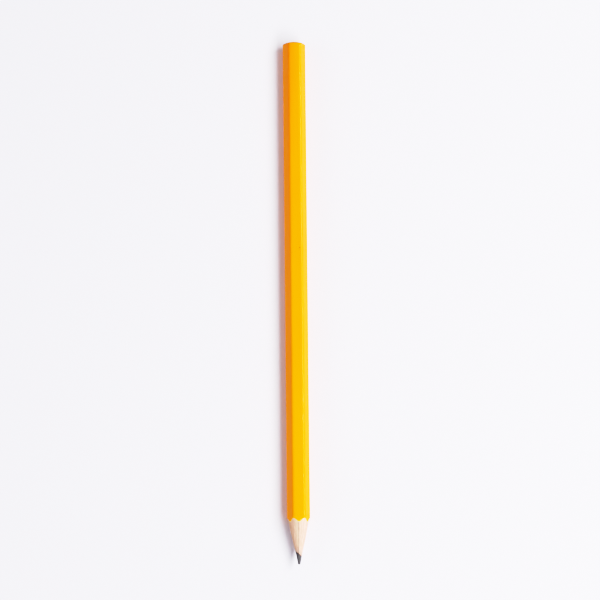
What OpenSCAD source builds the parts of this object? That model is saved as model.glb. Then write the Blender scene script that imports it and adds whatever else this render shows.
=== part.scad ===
// Hexagonal graphite pencil: a round graphite core glued between two grooved
// wood slats, shaped to a hexagon, lacquered, dipped at one end and sharpened
// at the other. Millimetres. It lies on one flat with its length along Y and
// its point towards -Y. The origin is on the resting plane, at mid-length.

/* [Barrel] */
// Overall length, from the tip of the point to the crown of the dipped end
length = 180; // [90:1:200]
// Width across two opposite flats, over the lacquer
across_flats = 7.0; // [6:0.1:9]
// Radius of the six long edges' rounding, over the lacquer
edge_radius = 1.1; // [0.7:0.05:1.6]
// Angle at which the rounding crosses into each flat, in degrees
edge_break = 10; // [6:1:18]

/* [Core] */
// Diameter of the graphite core
core_d = 2.0; // [1.6:0.1:3]
// Distance of the core and its seam from the barrel's axis, towards the left slat
core_shift = 0.12; // [0:0.01:0.25]

/* [Point] */
// Included angle of the sharpened cone, in degrees
point_angle = 25.8; // [20:0.2:32]
// Radius of the worn tip
tip_radius = 0.3; // [0.1:0.02:0.4]
// Lean of the sharpened cone away from the barrel's axis, in degrees
point_lean = 0.4; // [0:0.1:0.8]

/* [Glue] */
// Thickness of the glue line between the two slats
glue_line = 0.06; // [0.04:0.01:0.1]
// Thickness of the glue between the core and its groove
core_bond = 0.06; // [0.04:0.01:0.1]

/* [Finish] */
// Thickness of the primer on the wood
primer = 0.05; // [0.04:0.01:0.1]
// Thickness of the coloured lacquer on the primer
colour = 0.08; // [0.05:0.01:0.15]
// Thickness of the clear lacquer on the colour
clear = 0.05; // [0.04:0.01:0.1]
// Fall of the dipped end's dome from its crown to the flats
dome_fall = 0.6; // [0.2:0.05:0.9]
// Thickness of the end dip where it meets the long edges
dip_rim = 0.15; // [0.1:0.01:0.3]

/* [Hidden] */
$fn = 144;
EDGES = 6;
// How far cutting shapes run past what they cut.
past = 1;
finish = primer + colour + clear;
groove_d = core_d + 2 * core_bond;
flat_reach = across_flats / 2;
half_step = 180 / EDGES;
// Distance from the axis to the centre line of an edge's rounding, shared by every coat.
edge_ring = (flat_reach - edge_radius * cos(edge_break)) / cos(half_step);
edge_reach = edge_ring + edge_radius;
// A circle that takes in the flats but stays inside the rounded edges.
flats_cover = norm([edge_ring + edge_radius * cos(half_step), edge_radius * sin(half_step)]);
// The cone touches a ball at the tip, so its own apex lies just past the tip.
half_angle = point_angle / 2;
apex = tip_radius - tip_radius / sin(half_angle);
// Where the cone meets the flats, and the level it leans about.
shoulder = apex + flat_reach / tan(half_angle);
// Half-width, in whole millimetres, that takes in the whole barrel, even of a shape that leans
// with the cone.
reach = ceil(edge_reach + length * tan(point_lean) + past);
dome_radius = (pow(flat_reach, 2) + pow(dome_fall, 2)) / (2 * dome_fall);
edge_fall = dome_radius - sqrt(pow(dome_radius, 2) - pow(edge_reach, 2));
cut_end = length - dip_rim - edge_fall;

// Outline of the barrel, inset from the finished surface so that coats are even all round.
module outline(inset) {
    intersection() {
        circle((flat_reach - inset) / cos(half_step), $fn = EDGES);
        union() {
            circle(flats_cover - inset);
            for (i = [1:EDGES])
                rotate(i * 2 * half_step)
                    translate([-edge_ring, 0])
                        circle(edge_radius - inset);
        }
    }
}

module stick(inset, from, to) {
    translate([0, 0, from])
        linear_extrude(to - from)
            outline(inset);
}

// The half of a turned shape's outline that rotate_extrude wants.
module half() {
    intersection() {
        children();
        translate([0, -length])
            square([length, 3 * length]);
    }
}

// What a sharpener leaves: a cone down to a ball at the tip, open wide above.
module point_blank() {
    rotate_extrude()
        half() {
            polygon([
                [0, tip_radius],
                [tip_radius * cos(half_angle), tip_radius * (1 - sin(half_angle))],
                [reach, apex + reach / tan(half_angle)],
                [reach, length + past],
                [0, length + past]
            ]);
            translate([0, tip_radius])
                circle(tip_radius);
        }
}

module sharpened() {
    intersection() {
        children();
        translate([0, 0, shoulder])
            rotate([0, -point_lean, 0])
                translate([0, 0, -shoulder])
                    point_blank();
    }
}

// Built upright on the point, then laid down on a flat.
module laid_down() {
    translate([0, -length / 2, flat_reach])
        rotate([-90, 0, 0])
            children();
}

module rod(d, from, to) {
    translate([-core_shift, 0, from])
        cylinder(h = to - from, d = d);
}

// All of one side of the seam, clear of the glue line. Side -1 is left, 1 is right.
module beside_seam(side) {
    translate([side * (reach + glue_line / 2) - core_shift, 0, cut_end / 2])
        cube([2 * reach, 2 * reach, cut_end + 2 * past], center = true);
}

module slat(side) {
    laid_down()
        sharpened()
            difference() {
                intersection() {
                    stick(finish, 0, cut_end);
                    beside_seam(side);
                }
                rod(groove_d, -past, cut_end + past);
            }
}

// The seam's glue on one side of the core. Side -1 is above it, 1 is below.
module seam_glue(side) {
    laid_down()
        sharpened()
            difference() {
                intersection() {
                    stick(finish, 0, cut_end);
                    translate([-core_shift, side * reach / 2, cut_end / 2])
                        cube([glue_line, reach, cut_end + 2 * past], center = true);
                }
                rod(groove_d, -past, cut_end + past);
            }
}

// One coat of lacquer, between two insets from the finished surface.
module coat(outer, inner) {
    laid_down()
        sharpened()
            difference() {
                stick(outer, 0, cut_end);
                stick(inner, -past, cut_end + past);
            }
}

module graphite_core() {
    color("dimgray")
        laid_down()
            sharpened()
                rod(core_d, 0, cut_end);
}

module core_bond_glue() {
    color("wheat")
        laid_down()
            sharpened()
                difference() {
                    rod(groove_d, 0, cut_end);
                    rod(core_d, -past, cut_end + past);
                }
}

module left_slat() {
    color("tan")
        slat(-1);
}

module right_slat() {
    color("burlywood")
        slat(1);
}

module upper_glue_line() {
    color("wheat")
        seam_glue(-1);
}

module lower_glue_line() {
    color("wheat")
        seam_glue(1);
}

module primer_coat() {
    color("oldlace")
        coat(clear + colour, finish);
}

module colour_coat() {
    color("gold")
        coat(clear, clear + colour);
}

module clear_coat() {
    color("khaki", 0.5)
        coat(0, clear);
}

module end_dip() {
    color("goldenrod")
        laid_down()
            intersection() {
                stick(0, cut_end, length + past);
                translate([0, 0, length - dome_radius])
                    rotate_extrude()
                        half()
                            circle(dome_radius);
            }
}

graphite_core();
core_bond_glue();
left_slat();
right_slat();
upper_glue_line();
lower_glue_line();
primer_coat();
colour_coat();
clear_coat();
end_dip();
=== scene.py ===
import math

import bpy
from mathutils import Matrix, Vector, noise


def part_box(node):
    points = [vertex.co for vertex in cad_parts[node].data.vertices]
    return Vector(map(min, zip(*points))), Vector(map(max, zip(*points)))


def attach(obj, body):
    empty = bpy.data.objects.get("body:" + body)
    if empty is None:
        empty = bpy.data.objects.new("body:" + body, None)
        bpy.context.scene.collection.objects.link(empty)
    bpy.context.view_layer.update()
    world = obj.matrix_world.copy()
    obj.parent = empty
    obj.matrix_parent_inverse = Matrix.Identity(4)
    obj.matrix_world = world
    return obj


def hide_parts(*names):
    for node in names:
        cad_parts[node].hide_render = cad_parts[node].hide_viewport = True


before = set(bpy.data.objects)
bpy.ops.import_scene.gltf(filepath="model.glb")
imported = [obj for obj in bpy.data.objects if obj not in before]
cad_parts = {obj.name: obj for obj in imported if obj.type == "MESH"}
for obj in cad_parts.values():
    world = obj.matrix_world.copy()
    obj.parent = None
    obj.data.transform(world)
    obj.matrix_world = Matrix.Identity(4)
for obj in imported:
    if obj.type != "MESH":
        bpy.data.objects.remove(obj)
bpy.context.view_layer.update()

mm = 0.001
edges = 6
halfStep = math.pi / edges     # from the middle of a flat to a long edge


def high(node, axis):
    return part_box(node)[1][axis]


def low(node, axis):
    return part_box(node)[0][axis]


# the pencil's own sizes, from the frame
flatReach = (high("clear_coat", 2) - low("clear_coat", 2)) / 2
edgeReach = (high("clear_coat", 0) - low("clear_coat", 0)) / 2
clearThick = high("clear_coat", 2) - high("colour_coat", 2)
colourThick = high("colour_coat", 2) - high("primer_coat", 2)
finishThick = high("clear_coat", 2) - high("upper_glue_line", 2)
cutEnd = high("clear_coat", 1)
tipEnd = low("graphite_core", 1)
crown = high("end_dip", 1)
coreRadius = (high("graphite_core", 0) - low("graphite_core", 0)) / 2
grooveRadius = (high("core_bond_glue", 0) - low("core_bond_glue", 0)) / 2
coreMiddle = (high("graphite_core", 0) + low("graphite_core", 0)) / 2
glueHalf = (high("upper_glue_line", 0) - low("upper_glue_line", 0)) / 2

# a rounding that dies into the flats and still reaches the long edges
edgeRadius = (flatReach - edgeReach * math.cos(halfStep)) / (1 - math.cos(halfStep))
edgeRing = edgeReach - edgeRadius

point = {
    "angle": 25.8,             # included angle of the cone, degrees
    "tipRadius": 0.3 * mm,
    "lean": 0.4,               # degrees, towards +X at the tip
    "blunt": 0.43 * mm,        # radius of the worn lead
    "flare": 0.7 * mm,         # how far the cut opens out where it meets the flats
    "flareFrom": 2.6 * mm,     # how far out from the axis it starts to open
    "drop": 0.14 * mm,         # how much lower it leaves the long edges
    "flats": 0.9,              # 1 makes the lead fully six-sided
    "flatsFade": 0.3 * mm,     # how far from the lead's collar they take to form
    "leanPasses": 6,           # passes that find the leaning cone's level
    "conePasses": 30,          # passes that find the lead's own angle
}
halfAngle = math.radians(point["angle"] / 2)
apex = tipEnd + point["tipRadius"] - point["tipRadius"] / math.sin(halfAngle)
shoulder = apex + flatReach / math.tan(halfAngle)
leanSlope = math.tan(math.radians(point["lean"]))


camera = {
    "place": (-50.8 * mm, -125.8 * mm, 839.9 * mm),
    "tilt": (8.545, -3.520, -0.042),    # degrees about X, Y and Z, from straight down
    "lens": 148.95,
    "sensor": 36,
    "near": 0.01,
    "far": 20,
}


def makeCamera():
    data = bpy.data.cameras.new("camera")
    data.lens = camera["lens"]
    data.sensor_width = camera["sensor"]
    data.clip_start = camera["near"]
    data.clip_end = camera["far"]
    seen = bpy.data.objects.new("camera", data)
    turn = Matrix.Identity(4)
    for angle, axis in zip(camera["tilt"], "XYZ"):
        turn = turn @ Matrix.Rotation(math.radians(angle), 4, axis)
    seen.matrix_world = Matrix.Translation(camera["place"]) @ turn
    bpy.context.scene.collection.objects.link(seen)
    bpy.context.scene.camera = seen


light = {
    "key": {
        "from": (0.57, -0.15, 0.805),
        "far": 0.9,
        "size": (1.3, 0.34),
        "watts": 15.6,
        "shines": True,            # whether it shows in the gloss
    },
    "left": {
        "from": (-0.87, 0.0, 0.5),
        "far": 0.9,
        "size": (0.6, 0.3),
        "watts": 1.8,
        "shines": False,
    },
    "room": (1.0, 1.0, 1.0),
    "roomStrength": 0.40,
    # each pair is a light in the scene and how bright it shows
    "film": [
        (0.05, 0.006), (0.12, 0.06), (0.25, 0.205), (0.45, 0.485),
        (0.75, 0.76), (1.15, 0.89), (1.7, 0.975),
    ],
    "white": 2.2,              # light in the scene that comes out as pure white
}


def makeLight(name, made):
    data = bpy.data.lights.new(name, "AREA")
    data.shape = "RECTANGLE"
    data.size, data.size_y = made["size"]
    data.energy = made["watts"]
    lamp = bpy.data.objects.new(name, data)
    towards = Vector(made["from"]).normalized()
    lamp.location = towards * made["far"]
    lamp.rotation_euler = towards.to_track_quat("Z", "Y").to_euler()
    lamp.visible_glossy = made["shines"]
    bpy.context.scene.collection.objects.link(lamp)


def makeRoom():
    world = bpy.data.worlds.new("studio")
    world.use_nodes = True
    back = world.node_tree.nodes["Background"]
    back.inputs["Color"].default_value = (*light["room"], 1)
    back.inputs["Strength"].default_value = light["roomStrength"]
    bpy.context.scene.world = world


def makeFilm():
    # a camera's response: a soft toe, and a long shoulder into white
    view = bpy.context.scene.view_settings
    view.view_transform = "Standard"
    view.use_curve_mapping = True
    mapping = view.curve_mapping
    mapping.white_level = (light["white"],) * 3
    mapping.extend = "HORIZONTAL"
    allColours = mapping.curves[3]
    for lit, shown in light["film"]:
        allColours.points.new(lit / light["white"], shown)
    mapping.update()


floor = {
    "reach": 2.5,              # from the middle to each side, metres
    "colour": (0.80, 0.785, 0.875),
    "roughness": 0.9,
}


def makeFloor():
    mesh = bpy.data.meshes.new("floor")
    reach = floor["reach"]
    corners = [(-reach, -reach, 0), (reach, -reach, 0), (reach, reach, 0), (-reach, reach, 0)]
    mesh.from_pydata(corners, [], [(0, 1, 2, 3)])
    sheet = bpy.data.objects.new("floor", mesh)
    bpy.context.scene.collection.objects.link(sheet)
    paper = bpy.data.materials.new("floor_paper")
    paper.use_nodes = True
    shader = paper.node_tree.nodes["Principled BSDF"]
    shader.inputs["Base Color"].default_value = (*floor["colour"], 1)
    shader.inputs["Roughness"].default_value = floor["roughness"]
    shader.inputs["Specular IOR Level"].default_value = 0.0
    mesh.materials.append(paper)


class Nodes:
    # a short way to write one material's nodes

    def __init__(self, name):
        self.material = bpy.data.materials.new(name)
        self.material.use_nodes = True
        self.tree = self.material.node_tree
        self.shader = self.tree.nodes["Principled BSDF"]
        self.place = self.add("ShaderNodeTexCoord").outputs["Object"]

    def add(self, kind, **settings):
        node = self.tree.nodes.new(kind)
        for key, value in settings.items():
            setattr(node, key, value)
        return node

    def join(self, value, socket):
        if isinstance(value, bpy.types.NodeSocket):
            self.tree.links.new(value, socket)
        else:
            socket.default_value = value

    def stretched(self, x, y, z):
        node = self.add("ShaderNodeMapping")
        self.join(self.place, node.inputs["Vector"])
        node.inputs["Scale"].default_value = (1 / x, 1 / y, 1 / z)
        return node.outputs["Vector"]

    def noise(self, vector, scale=1.0, detail=3.0, rough=0.5):
        node = self.add("ShaderNodeTexNoise")
        self.join(vector, node.inputs["Vector"])
        node.inputs["Scale"].default_value = scale
        node.inputs["Detail"].default_value = detail
        node.inputs["Roughness"].default_value = rough
        return node.outputs["Fac"]

    def math(self, what, a, b=0.0, c=0.0):
        node = self.add("ShaderNodeMath", operation=what)
        for value, socket in zip((a, b, c), node.inputs):
            self.join(value, socket)
        return node.outputs[0]

    def spread(self, value, fromLow, fromHigh, toLow=0.0, toHigh=1.0):
        node = self.add("ShaderNodeMapRange")
        self.join(value, node.inputs["Value"])
        ends = {"From Min": fromLow, "From Max": fromHigh, "To Min": toLow, "To Max": toHigh}
        for key, number in ends.items():
            node.inputs[key].default_value = number
        return node.outputs["Result"]

    def mix(self, share, a, b):
        node = self.add("ShaderNodeMix", data_type="RGBA")
        self.join(share, node.inputs["Factor"])
        for value, key in ((a, "A"), (b, "B")):
            socket = next(s for s in node.inputs if s.name == key and s.type == "RGBA")
            self.join((*value, 1) if isinstance(value, tuple) else value, socket)
        return next(s for s in node.outputs if s.type == "RGBA")

    def bump(self, height, strength, distance):
        node = self.add("ShaderNodeBump")
        self.join(height, node.inputs["Height"])
        node.inputs["Strength"].default_value = strength
        node.inputs["Distance"].default_value = distance
        self.join(node.outputs["Normal"], self.shader.inputs["Normal"])

    def set(self, key, value):
        self.join((*value, 1) if isinstance(value, tuple) else value, self.shader.inputs[key])


def outline(inset, perEdge=9, perFlat=7):
    # the barrel's section as (x, z) about its axis, inset from the finished surface
    radius = edgeRadius - inset
    spots = []
    for edge in range(edges):
        ray = 2 * halfStep * edge
        middle = Vector((edgeRing * math.cos(ray), edgeRing * math.sin(ray)))
        for step in range(perEdge):
            turn = ray - halfStep + 2 * halfStep * step / (perEdge - 1)
            spots.append(middle + radius * Vector((math.cos(turn), math.sin(turn))))
        nextRay = ray + 2 * halfStep
        after = Vector((edgeRing * math.cos(nextRay), edgeRing * math.sin(nextRay)))
        turn = nextRay - halfStep
        start = spots[-1]
        end = after + radius * Vector((math.cos(turn), math.sin(turn)))
        for step in range(1, perFlat + 1):
            spots.append(start.lerp(end, step / (perFlat + 1)))
    return spots


def axisX(level):
    return (shoulder - level) * leanSlope


def leadCone():
    # the lead's own half angle, which runs from its blunt tip to the cone's radius at the collar
    rise = apex + coreRadius / math.tan(halfAngle) - tipEnd - point["blunt"]
    turn = halfAngle
    for _ in range(point["conePasses"]):
        turn = math.atan((coreRadius - point["blunt"] / math.cos(turn)) / rise)
    return turn


def sharpened(x, z):
    # how far along Y the sharpener's cone passes over this spot of the section
    level = shoulder
    for _ in range(point["leanPasses"]):
        away = math.hypot(x - axisX(level), z)
        if away > coreRadius:
            level = apex + away / math.tan(halfAngle) + flare(away)
            continue
        away *= worn(x - axisX(level), z)
        if away > point["blunt"] * math.cos(leadAngle):
            level = apex + coreRadius / math.tan(halfAngle) - (coreRadius - away) / math.tan(leadAngle)
        else:
            level = tipEnd + point["blunt"] - math.sqrt(point["blunt"] ** 2 - away ** 2)
    return level


def worn(x, z):
    # flats that sharpening leaves round the lead, fading out at its collar and at the very tip
    away = math.hypot(x, z)
    turn = math.atan2(z, x) % (2 * halfStep) - halfStep
    near = smooth((coreRadius - away) / point["flatsFade"]) * smooth(away / point["blunt"])
    return 1 + point["flats"] * near * (math.cos(turn) / math.cos(halfStep) - 1)


def flare(away):
    # the cut opens out a little just below the long edges, so the scallops are shallow
    near = smooth((away - point["flareFrom"]) / (flatReach - point["flareFrom"]))
    far = smooth((away - flatReach) / (edgeReach - flatReach))
    return point["flare"] * near * (1 - far) - point["drop"] * far


def smooth(share):
    share = min(1, max(0, share))
    return share * share * (3 - 2 * share)


leadAngle = leadCone()

cuts = {
    "depth": 0.006 * mm,       # of the blade's rings, square to the cone
    "pitch": 0.42 * mm,
    "wander": 1.7,             # how far the rings drift, in pitches
    "wanderRound": 2.2,        # drifts round the cone
    "wanderAlong": 1.1 * mm,   # length of a drift out along it
    "ring": 0.6,               # share of the rings in the depth
    "torn": 0.9,               # share of the torn fibres
    "tornSize": 0.12 * mm,
    "fade": 0.4 * mm,          # how far out from the lead they take to start
}


def bladeMarks(x, z):
    # rings that a sharpener's blade leaves, as a shift along Y
    away = math.hypot(x, z)
    turn = math.atan2(z, x)
    around = cuts["wanderRound"]
    spot = Vector((around * math.cos(turn), around * math.sin(turn), away / cuts["wanderAlong"]))
    drift = cuts["wander"] * noise.noise(spot)
    ring = math.sin(2 * math.pi * (away / math.tan(halfAngle) / cuts["pitch"] + drift))
    torn = noise.noise(Vector((x, z, 0)) / cuts["tornSize"])
    fade = min(1, max(0, (away - coreRadius) / cuts["fade"]))
    return cuts["depth"] * (cuts["ring"] * ring + cuts["torn"] * torn) * fade / math.sin(halfAngle)


chips = {
    "reach": 0.05 * mm,        # how far the lacquer's sharpened edge wanders
    "round": 5,                # wanders round the pencil
    "apart": 3.1,              # keeps each layer's chips its own
    "fine": 4.3,               # how much finer the small chips are
    "fineShare": 0.6,
}


def coatEdge(spot, layer):
    # the sharpened level of a coat's edge, with small chips of its own
    x, z = spot
    turn = math.atan2(z, x)
    around = chips["round"]
    seed = Vector((around * math.cos(turn), around * math.sin(turn), chips["apart"] * layer))
    wander = noise.noise(seed) + chips["fineShare"] * noise.noise(seed * chips["fine"])
    return sharpened(x, z) + chips["reach"] * wander


def makePiece(name, spots, faces, material, node, crease=35):
    mesh = bpy.data.meshes.new(name)
    mesh.from_pydata(spots, [], faces)
    mesh.materials.append(material)
    mesh.polygons.foreach_set("use_smooth", [True] * len(mesh.polygons))
    mesh.set_sharp_from_angle(angle=math.radians(crease))
    mesh.validate()
    mesh.update()
    piece = bpy.data.objects.new(name, mesh)
    bpy.context.scene.collection.objects.link(piece)
    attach(piece, "root")
    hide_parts(node)
    print("made", name, "with", len(mesh.vertices), "points")
    return piece


def at(spot, level):
    return (spot[0], level, flatReach + spot[1])


def closedRings(rings, closesOn=True):
    # faces of a tube through rings of equal count, the last joined to the first if closesOn
    count = len(rings[0])
    spots = [spot for ring in rings for spot in ring]
    faces = []
    last = len(rings) if closesOn else len(rings) - 1
    for row in range(last):
        after = (row + 1) % len(rings)
        for i in range(count):
            j = (i + 1) % count
            faces.append((row * count + i, row * count + j, after * count + j, after * count + i))
    return spots, faces


coat = {
    "rows": 110,               # along the outermost coat
    "innerRows": 6,
    "crowding": 1.6,           # over 1 gathers the rows at the point
    "waves": 0.006 * mm,       # soft unevenness of the dried lacquer, inwards only
    "waveLength": 7 * mm,
    "waveStretch": 3,          # how much longer than wide the waves are
}


def coatPiece(name, node, material, outer, inner, layer, rows, waves=0.0):
    outerLine = outline(outer)
    innerLine = outline(inner)
    outerEdge = [coatEdge(spot, layer) for spot in outerLine]
    innerEdge = [coatEdge(spot, layer + 1) for spot in innerLine]
    rings = []
    for row in range(rows + 1):
        share = (row / rows) ** coat["crowding"]
        ring = []
        for spot, edge in zip(outerLine, outerEdge):
            level = edge + (cutEnd - edge) * share
            place = Vector((spot[0], spot[1], level / coat["waveStretch"])) / coat["waveLength"]
            sunk = waves * (0.5 + 0.5 * noise.noise(place))
            ring.append(at(spot * (1 - sunk / spot.length), level))
        rings.append(ring)
    rings.append([at(spot, cutEnd) for spot in innerLine])
    rings.append([at(spot, edge) for spot, edge in zip(innerLine, innerEdge)])
    middle = []
    for a, b, c, d in zip(outerLine, innerLine, outerEdge, innerEdge):
        middle.append(at(a.lerp(b, 0.5), (c + d) / 2))
    rings.append(middle)
    spots, faces = closedRings(rings)
    return makePiece(name, spots, faces, material, node)


paint = {
    "paintedShadeEnd": 0.55,           # painted shade: how much deeper the colour is towards the dipped end, where less light falls
    "paintedShadeFrom": 5 * mm,        # along Y, where that starts
    "paintedShadeLeft": 1.3,           # painted shade: how much more of it there is on the left of the top flat
    "paintedShadeBeside": 0.25,        # and how little on the left side flat
    "cloud": (5 * mm, 30 * mm, 5 * mm),
    "streak": (0.35 * mm, 45 * mm, 0.35 * mm),
    "peel": (0.45 * mm, 0.9 * mm, 0.45 * mm),
    "peelStrength": 0.12,
    "peelDepth": 0.02 * mm,
    "roughness": (0.34, 0.44),
    "glossRoughness": 0.09,
    "glossIor": 1.4,
    "specular": 0.1,
    "speck": (1.1 * mm, 17.4 * mm, 2 * flatReach),
    "speckSize": 0.22 * mm,
    "speckColour": (0.30, 0.10, 0.01),
}

lacquers = {
    "clear_over_yellow": {
        "deep": (0.95, 0.215, 0.001),
        "bright": (0.97, 0.30, 0.001),
        "gloss": 0.3,
    },
    "yellow_lacquer": {
        "deep": (0.88, 0.30, 0.01),
        "bright": (0.92, 0.34, 0.015),
        "gloss": 0.0,
    },
    # painted shade: deeper than the barrel's yellow, standing in for the shade on the dipped end's
    # rounded rim
    "dip_yellow_painted_shade": {
        "deep": (0.50, 0.17, 0.008),
        "bright": (0.62, 0.24, 0.010),
        "gloss": 0.3,
    },
}


def lacquerMaterial(name):
    lacquer = lacquers[name]
    made = Nodes(name)
    apart = made.add("ShaderNodeSeparateXYZ")
    made.join(made.place, apart.inputs[0])
    x, y = apart.outputs["X"], apart.outputs["Y"]
    cloud = made.noise(made.stretched(*paint["cloud"]), 1.0, 2.0)
    streak = made.noise(made.stretched(*paint["streak"]), 1.0, 3.0)
    share = made.math("ADD", made.math("MULTIPLY", cloud, 0.6), made.math("MULTIPLY", streak, 0.4))
    share = made.spread(share, 0.3, 0.7, 0.72, 1.0)
    # painted shade: the colour deepens towards the dipped end and on the left, where less light falls
    plain = made.spread(y, paint["paintedShadeFrom"], cutEnd, 0.0, paint["paintedShadeEnd"])
    leftwards = made.spread(x, -1.9 * mm, 1.9 * mm, paint["paintedShadeLeft"], 0.0)
    beside = made.spread(x, -2.6 * mm, -1.9 * mm, paint["paintedShadeBeside"], 1.0)
    paintedShade = made.math("MULTIPLY", plain, made.math("MULTIPLY", leftwards, beside))
    share = made.math("SUBTRACT", share, paintedShade)
    near = made.add("ShaderNodeVectorMath", operation="DISTANCE")
    made.join(made.place, near.inputs[0])
    near.inputs[1].default_value = paint["speck"]
    speck = made.spread(near.outputs["Value"], 0.4 * paint["speckSize"], paint["speckSize"], 1.0, 0.0)
    colour = made.mix(share, lacquer["deep"], lacquer["bright"])
    made.set("Base Color", made.mix(speck, colour, paint["speckColour"]))
    peel = made.noise(made.stretched(*paint["peel"]), 1.0, 2.0)
    height = made.math("ADD", peel, made.math("MULTIPLY", streak, 0.5))
    height = made.math("ADD", height, made.math("MULTIPLY", speck, 2.0))
    made.bump(height, paint["peelStrength"], paint["peelDepth"])
    made.set("Roughness", made.spread(cloud, 0.3, 0.7, *paint["roughness"]))
    made.set("Coat Weight", lacquer["gloss"])
    made.set("Coat Roughness", paint["glossRoughness"])
    made.set("Coat IOR", paint["glossIor"])
    made.set("Specular IOR Level", paint["specular"])
    return made.material


primer = {
    "dark": (0.72, 0.50, 0.24),
    "pale": (0.80, 0.58, 0.31),
    "chalk": (0.3 * mm, 0.5 * mm, 0.3 * mm),
    "depth": 0.02 * mm,
    "roughness": (0.55, 0.7),
}


def primerMaterial():
    made = Nodes("cream_primer")
    chalk = made.noise(made.stretched(*primer["chalk"]), 1.0, 4.0)
    made.set("Base Color", made.mix(chalk, primer["dark"], primer["pale"]))
    made.bump(chalk, 0.3, primer["depth"])
    made.set("Roughness", made.spread(chalk, 0.3, 0.7, *primer["roughness"]))
    return made.material


def coneBlock(name, node, material, grid, rows=5, turnedOver=False):
    # a prism whose section is grid[i][j] of (x, z), with its front cut by the cone
    across = len(grid)
    deep = len(grid[0])
    front = [[at(spot, sharpened(*spot) + bladeMarks(*spot)) for spot in line] for line in grid]
    spots = []
    faces = []
    index = {}

    def spotAt(i, j, row):
        key = (i, j, row)
        if key not in index:
            x, y, z = front[i][j]
            index[key] = len(spots)
            spots.append((x, y + (cutEnd - y) * row / rows, z))
        return index[key]

    def face(a, b, c, d):
        faces.append((a, d, c, b) if turnedOver else (a, b, c, d))

    for i in range(across - 1):
        for j in range(deep - 1):
            square = [(i, j), (i, j + 1), (i + 1, j + 1), (i + 1, j)]
            face(*[spotAt(a, b, 0) for a, b in square])
            face(*[spotAt(a, b, rows) for a, b in (square[0], square[3], square[2], square[1])])
    rim = [(i, 0) for i in range(across - 1)]
    rim += [(across - 1, j) for j in range(deep - 1)]
    rim += [(i, deep - 1) for i in range(across - 1, 0, -1)]
    rim += [(0, j) for j in range(deep - 1, 0, -1)]
    for (a, b), (c, d) in zip(rim, rim[1:] + rim[:1]):
        for row in range(rows):
            face(spotAt(a, b, row), spotAt(c, d, row), spotAt(c, d, row + 1), spotAt(a, b, row + 1))
    return makePiece(name, spots, faces, material, node)


slat = {
    "across": 96,              # steps round half the barrel
    "deep": 84,                # steps out along the cone
    "halvings": 40,            # passes that find where a ray leaves the section
}


def outlineAt(turn, inset):
    # where a ray from the core's middle, this way, leaves the section
    ray = Vector((math.cos(turn), math.sin(turn)))
    start = Vector((coreMiddle, 0))
    far = 0.0
    near = 2 * edgeReach
    for _ in range(slat["halvings"]):
        half = (far + near) / 2
        if inside(start + ray * half, inset):
            far = half
        else:
            near = half
    return start + ray * far


def inside(spot, inset):
    turn = math.atan2(spot[1], spot[0])
    sector = round(turn / (2 * halfStep)) * 2 * halfStep
    along = Vector((math.cos(sector), math.sin(sector)))
    x = spot.dot(along)
    z = abs(spot[1] * along[0] - spot[0] * along[1])
    flat = x * math.cos(halfStep) + z * math.sin(halfStep) <= flatReach - inset
    beyond = Vector((x - edgeRing, z))
    rounded = beyond.length <= edgeRadius - inset
    besideEdge = math.atan2(beyond[1], beyond[0]) < halfStep if beyond.length else False
    return rounded if besideEdge and beyond[0] > 0 else flat


def slatGrid(side):
    # from the seam above the core round to the seam below it; side -1 is left
    wall = coreMiddle + side * glueHalf
    lines = []
    for i in range(slat["across"] + 1):
        share = i / slat["across"]
        turn = math.pi / 2 - side * math.pi * share
        # the first and last lines lie on the seam's wall
        outer = outlineAt(turn, finishThick)
        inner = Vector((coreMiddle + grooveRadius * math.cos(turn), grooveRadius * math.sin(turn)))
        if side * (inner[0] - wall) < 0 or i in (0, slat["across"]):
            drop = math.sqrt(grooveRadius ** 2 - glueHalf ** 2)
            inner = Vector((wall, math.copysign(drop, inner[1])))
        if side * (outer[0] - wall) < 0 or i in (0, slat["across"]):
            outer = Vector((wall, math.copysign(flatReach - finishThick, outer[1])))
        line = [inner.lerp(outer, j / slat["deep"]) for j in range(slat["deep"] + 1)]
        lines.append(line)
    return lines


grain = {
    "ringPitch": 0.95 * mm,    # width of a year's growth
    "ringTilt": 0.012,         # radians off the pencil's length
    "ringWander": 1.6,         # how far the years wander, in years
    "wander": (1.6 * mm, 25 * mm, 1.6 * mm),
    "fibre": (0.10 * mm, 5 * mm, 0.10 * mm),
    "streak": (0.42 * mm, 16 * mm, 0.42 * mm),
    "pore": (0.055 * mm, 0.9 * mm, 0.055 * mm),
    "depth": 0.03 * mm,
    "roughness": (0.62, 0.8),
    "specular": 0.25,
    "dust": (0.20, 0.20, 0.22),
    "dustReach": 0.5 * mm,     # how far graphite dust reaches out from the lead
    "dustShare": 0.5,
    "soaked": (0.38, 0.30, 0.25),
    "soakReach": 0.16 * mm,    # how far the seam's glue has soaked in
    "soakShare": 0.8,
    # painted shade for the cone's left flank, which faces away from the light
    "left": (0.36, 0.25, 0.185),
    "paintedShadeShare": 0.3,          # painted shade: how much darker the left side of the cone is, turned away from the light
}

woods = {
    "left_wood": {
        "pale": (0.80, 0.525, 0.40),
        "dark": (0.65, 0.41, 0.305),
        "vein": (0.40, 0.24, 0.17),
        "ringTurn": 0.5,       # radians, of the years across the slat
    },
    "right_wood": {
        "pale": (0.90, 0.54, 0.42),
        "dark": (0.74, 0.42, 0.31),
        "vein": (0.44, 0.25, 0.16),
        "ringTurn": -0.4,
    },
}


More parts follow.
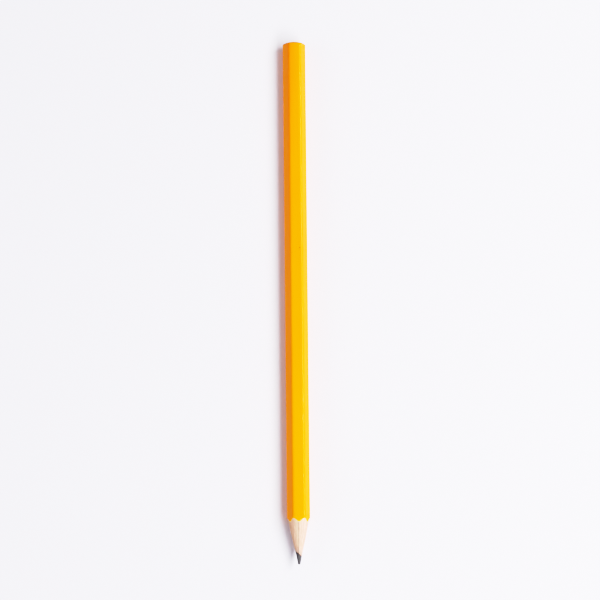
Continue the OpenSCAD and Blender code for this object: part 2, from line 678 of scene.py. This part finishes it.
def woodMaterial(name):
    wood = woods[name]
    vein = wood["vein"]
    made = Nodes(name)
    middle = made.add("ShaderNodeVectorMath", operation="SUBTRACT")
    made.join(made.place, middle.inputs[0])
    middle.inputs[1].default_value = (coreMiddle, 0, flatReach)
    level = made.add("ShaderNodeVectorMath", operation="MULTIPLY")
    made.join(middle.outputs[0], level.inputs[0])
    level.inputs[1].default_value = (1, 0, 1)
    length = made.add("ShaderNodeVectorMath", operation="LENGTH")
    made.join(level.outputs[0], length.inputs[0])
    away = length.outputs["Value"]

    apart = made.add("ShaderNodeSeparateXYZ")
    made.join(made.place, apart.inputs[0])
    fromSeam = made.math("SUBTRACT", apart.outputs["X"], coreMiddle)
    turned = made.add("ShaderNodeMapping")
    made.join(made.place, turned.inputs["Vector"])
    turned.inputs["Rotation"].default_value = (0, wood["ringTurn"], grain["ringTilt"])
    across = made.add("ShaderNodeSeparateXYZ")
    made.join(turned.outputs["Vector"], across.inputs[0])
    wander = made.noise(made.stretched(*grain["wander"]), 1.0, 2.0)
    wander = made.math("MULTIPLY", wander, grain["ringWander"])
    year = made.math("DIVIDE", across.outputs["X"], grain["ringPitch"])
    year = made.math("FRACT", made.math("ADD", year, wander))
    late = made.math("POWER", year, 3.0)

    fibre = made.noise(made.stretched(*grain["fibre"]), 1.0, 4.0, 0.6)
    streak = made.noise(made.stretched(*grain["streak"]), 1.0, 2.0)
    pore = made.noise(made.stretched(*grain["pore"]), 1.0, 2.0)
    tone = made.mix(made.spread(streak, 0.36, 0.64), wood["pale"], wood["dark"])
    tone = made.mix(made.math("MULTIPLY", late, 0.38), tone, vein)
    tone = made.mix(made.spread(fibre, 0.5, 0.8, 0.0, 0.45), tone, vein)
    tone = made.mix(made.spread(pore, 0.66, 0.8, 0.0, 0.7), tone, vein)
    beside = made.math("ABSOLUTE", fromSeam)
    soak = made.spread(beside, glueHalf, glueHalf + grain["soakReach"], grain["soakShare"], 0.0)
    tone = made.mix(soak, tone, grain["soaked"])
    # painted shade: darker on the cone's left flank, which faces away from the light
    leftness = made.math("DIVIDE", fromSeam, away)
    tone = made.mix(made.spread(leftness, -1.0, -0.6, grain["paintedShadeShare"], 0.0), tone, grain["left"])
    dust = made.spread(away, coreRadius, coreRadius + grain["dustReach"], grain["dustShare"], 0.0)
    made.set("Base Color", made.mix(dust, tone, grain["dust"]))
    height = made.math("ADD", made.math("MULTIPLY", fibre, 0.7), made.math("MULTIPLY", pore, -0.5))
    made.bump(made.math("ADD", height, made.math("MULTIPLY", late, 0.3)), 0.6, grain["depth"])
    made.set("Roughness", made.spread(fibre, 0.3, 0.7, *grain["roughness"]))
    made.set("Specular IOR Level", grain["specular"])
    return made.material


glue = {
    "dark": (0.05, 0.03, 0.02),
    "pale": (0.10, 0.06, 0.045),
    "blot": (0.3 * mm, 1.6 * mm, 0.3 * mm),
    "depth": 0.02 * mm,
    "roughness": (0.45, 0.65),
}


def glueMaterial():
    made = Nodes("wood_glue")
    blot = made.noise(made.stretched(*glue["blot"]), 1.0, 3.0)
    made.set("Base Color", made.mix(blot, glue["dark"], glue["pale"]))
    made.bump(blot, 0.2, glue["depth"])
    made.set("Roughness", made.spread(blot, 0.3, 0.7, *glue["roughness"]))
    return made.material


graphite = {
    "dark": (0.075, 0.069, 0.074),
    "pale": (0.13, 0.121, 0.129),
    "grit": (0.05 * mm, 0.12 * mm, 0.05 * mm),
    "streak": (0.25 * mm, 0.05 * mm, 0.25 * mm),
    "depth": 0.015 * mm,
    "metallic": 0.15,
    "roughness": (0.36, 0.52),
    "specular": 0.5,
}


def graphiteMaterial():
    made = Nodes("burnished_graphite")
    grit = made.noise(made.stretched(*graphite["grit"]), 1.0, 4.0, 0.6)
    streak = made.noise(made.stretched(*graphite["streak"]), 1.0, 2.0)
    made.set("Base Color", made.mix(grit, graphite["dark"], graphite["pale"]))
    made.set("Metallic", graphite["metallic"])
    made.set("Roughness", made.spread(streak, 0.3, 0.7, *graphite["roughness"]))
    made.bump(made.math("ADD", grit, made.math("MULTIPLY", streak, 0.8)), 0.35, graphite["depth"])
    made.set("Specular IOR Level", graphite["specular"])
    return made.material


core = {
    "round": 96,               # steps round the lead
    "deep": 44,                # steps from its tip to its collar
    "crowding": 1.3,           # over 1 gathers them at the tip
}


def corePiece(material):
    # rays from the tip out to the core's wall, then back to the cut end
    tip = Vector((axisX(tipEnd), 0))
    middle = Vector((coreMiddle, 0))
    rim = []
    for i in range(core["round"]):
        turn = 2 * math.pi * i / core["round"]
        rim.append(middle + coreRadius * Vector((math.cos(turn), math.sin(turn))))
    spots = [at(tip, sharpened(*tip))]
    for j in range(1, core["deep"] + 1):
        share = (j / core["deep"]) ** core["crowding"]
        for spot in rim:
            here = tip.lerp(spot, share)
            spots.append(at(here, sharpened(*here) + bladeMarks(*here)))
    spots += [at(spot, cutEnd) for spot in rim]
    spots.append(at(middle, cutEnd))
    count = core["round"]
    faces = []
    for i in range(count):
        j = (i + 1) % count
        faces.append((0, 1 + i, 1 + j))
        for row in range(core["deep"]):
            base = 1 + row * count
            faces.append((base + i, base + count + i, base + count + j, base + j))
        base = 1 + core["deep"] * count
        faces.append((base + i, len(spots) - 1, base + j))
    return makePiece("graphite_lead", spots, faces, material, "graphite_core")


def bondPiece(material):
    count = core["round"]
    rings = []
    for radius, level in ((coreRadius, 0), (grooveRadius, 0), (grooveRadius, 1), (coreRadius, 1)):
        ring = []
        for i in range(count):
            turn = 2 * math.pi * i / count
            spot = (coreMiddle + radius * math.cos(turn), radius * math.sin(turn))
            ring.append(at(spot, cutEnd if level else sharpened(*spot) + bladeMarks(*spot)))
        rings.append(ring)
    spots, faces = closedRings(rings)
    return makePiece("core_glue", spots, faces, material, "core_bond_glue")


def gluePiece(name, node, side, material):
    # side 1 is above the core, -1 below it
    top = flatReach - finishThick
    grid = []
    for x in (coreMiddle - glueHalf, coreMiddle, coreMiddle + glueHalf):
        start = math.sqrt(grooveRadius ** 2 - (x - coreMiddle) ** 2)
        rises = [start + (top - start) * j / slat["deep"] for j in range(slat["deep"] + 1)]
        grid.append([Vector((x, side * rise)) for rise in rises])
    return coneBlock(name, node, material, grid, turnedOver=side > 0)


dip = {
    "fall": 0.6 * mm,          # of the dome, from its crown to the flats
    "rim": 0.30 * mm,          # rounding where the dome meets the sides
    "domeRows": 26,
    "rimRows": 8,
}


def domeLevel(away):
    radius = (flatReach ** 2 + dip["fall"] ** 2) / (2 * dip["fall"])
    return crown - radius + math.sqrt(radius ** 2 - away ** 2)


def dipPiece(material):
    line = outline(0)
    inner = outline(dip["rim"])
    rings = []
    for row in range(1, dip["domeRows"] + 1):
        share = row / dip["domeRows"]
        rings.append([at(spot * share, domeLevel(spot.length * share)) for spot in inner])
    for row in range(1, dip["rimRows"] + 1):
        turn = math.pi / 2 * row / dip["rimRows"]
        ring = []
        for near, far in zip(inner, line):
            spot = near.lerp(far, math.sin(turn))
            level = domeLevel(near.length) - dip["rim"] * (1 - math.cos(turn))
            ring.append(at(spot, max(level, cutEnd)))
        rings.append(ring)
    rings.append([at(spot, cutEnd) for spot in line])
    spots, faces = closedRings(rings, closesOn=False)
    count = len(line)
    spots.append(at((0, 0), crown))
    spots.append(at((0, 0), cutEnd))
    for i in range(count):
        j = (i + 1) % count
        faces.append((len(spots) - 2, j, i))
        base = (len(rings) - 1) * count
        faces.append((base + i, base + j, len(spots) - 1))
    faces = [tuple(reversed(face)) for face in faces]
    return makePiece("dipped_end", spots, faces, material, "end_dip", crease=50)


makeCamera()
makeRoom()
makeFilm()
makeLight("key_softbox", light["key"])
makeLight("left_fill", light["left"])
makeFloor()
print("camera, lights and floor are set")

clearLacquer = lacquerMaterial("clear_over_yellow")
yellowLacquer = lacquerMaterial("yellow_lacquer")
primerTop = clearThick + colourThick
coatPiece("clear_lacquer", "clear_coat", clearLacquer,
          outer=0, inner=clearThick, layer=0, rows=coat["rows"], waves=coat["waves"])
coatPiece("yellow_lacquer", "colour_coat", yellowLacquer,
          outer=clearThick, inner=primerTop, layer=1, rows=coat["innerRows"])
coatPiece("cream_primer", "primer_coat", primerMaterial(),
          outer=primerTop, inner=finishThick, layer=2, rows=coat["innerRows"])
dipPiece(lacquerMaterial("dip_yellow_painted_shade"))
print("the lacquer is on")

leftWood = woodMaterial("left_wood")
rightWood = woodMaterial("right_wood")
coneBlock("left_slat_wood", "left_slat", leftWood, slatGrid(-1))
coneBlock("right_slat_wood", "right_slat", rightWood, slatGrid(1), turnedOver=True)
woodGlue = glueMaterial()
gluePiece("upper_seam_glue", "upper_glue_line", 1, woodGlue)
gluePiece("lower_seam_glue", "lower_glue_line", -1, woodGlue)
bondPiece(woodGlue)
corePiece(graphiteMaterial())
print("wood, glue and lead are in")
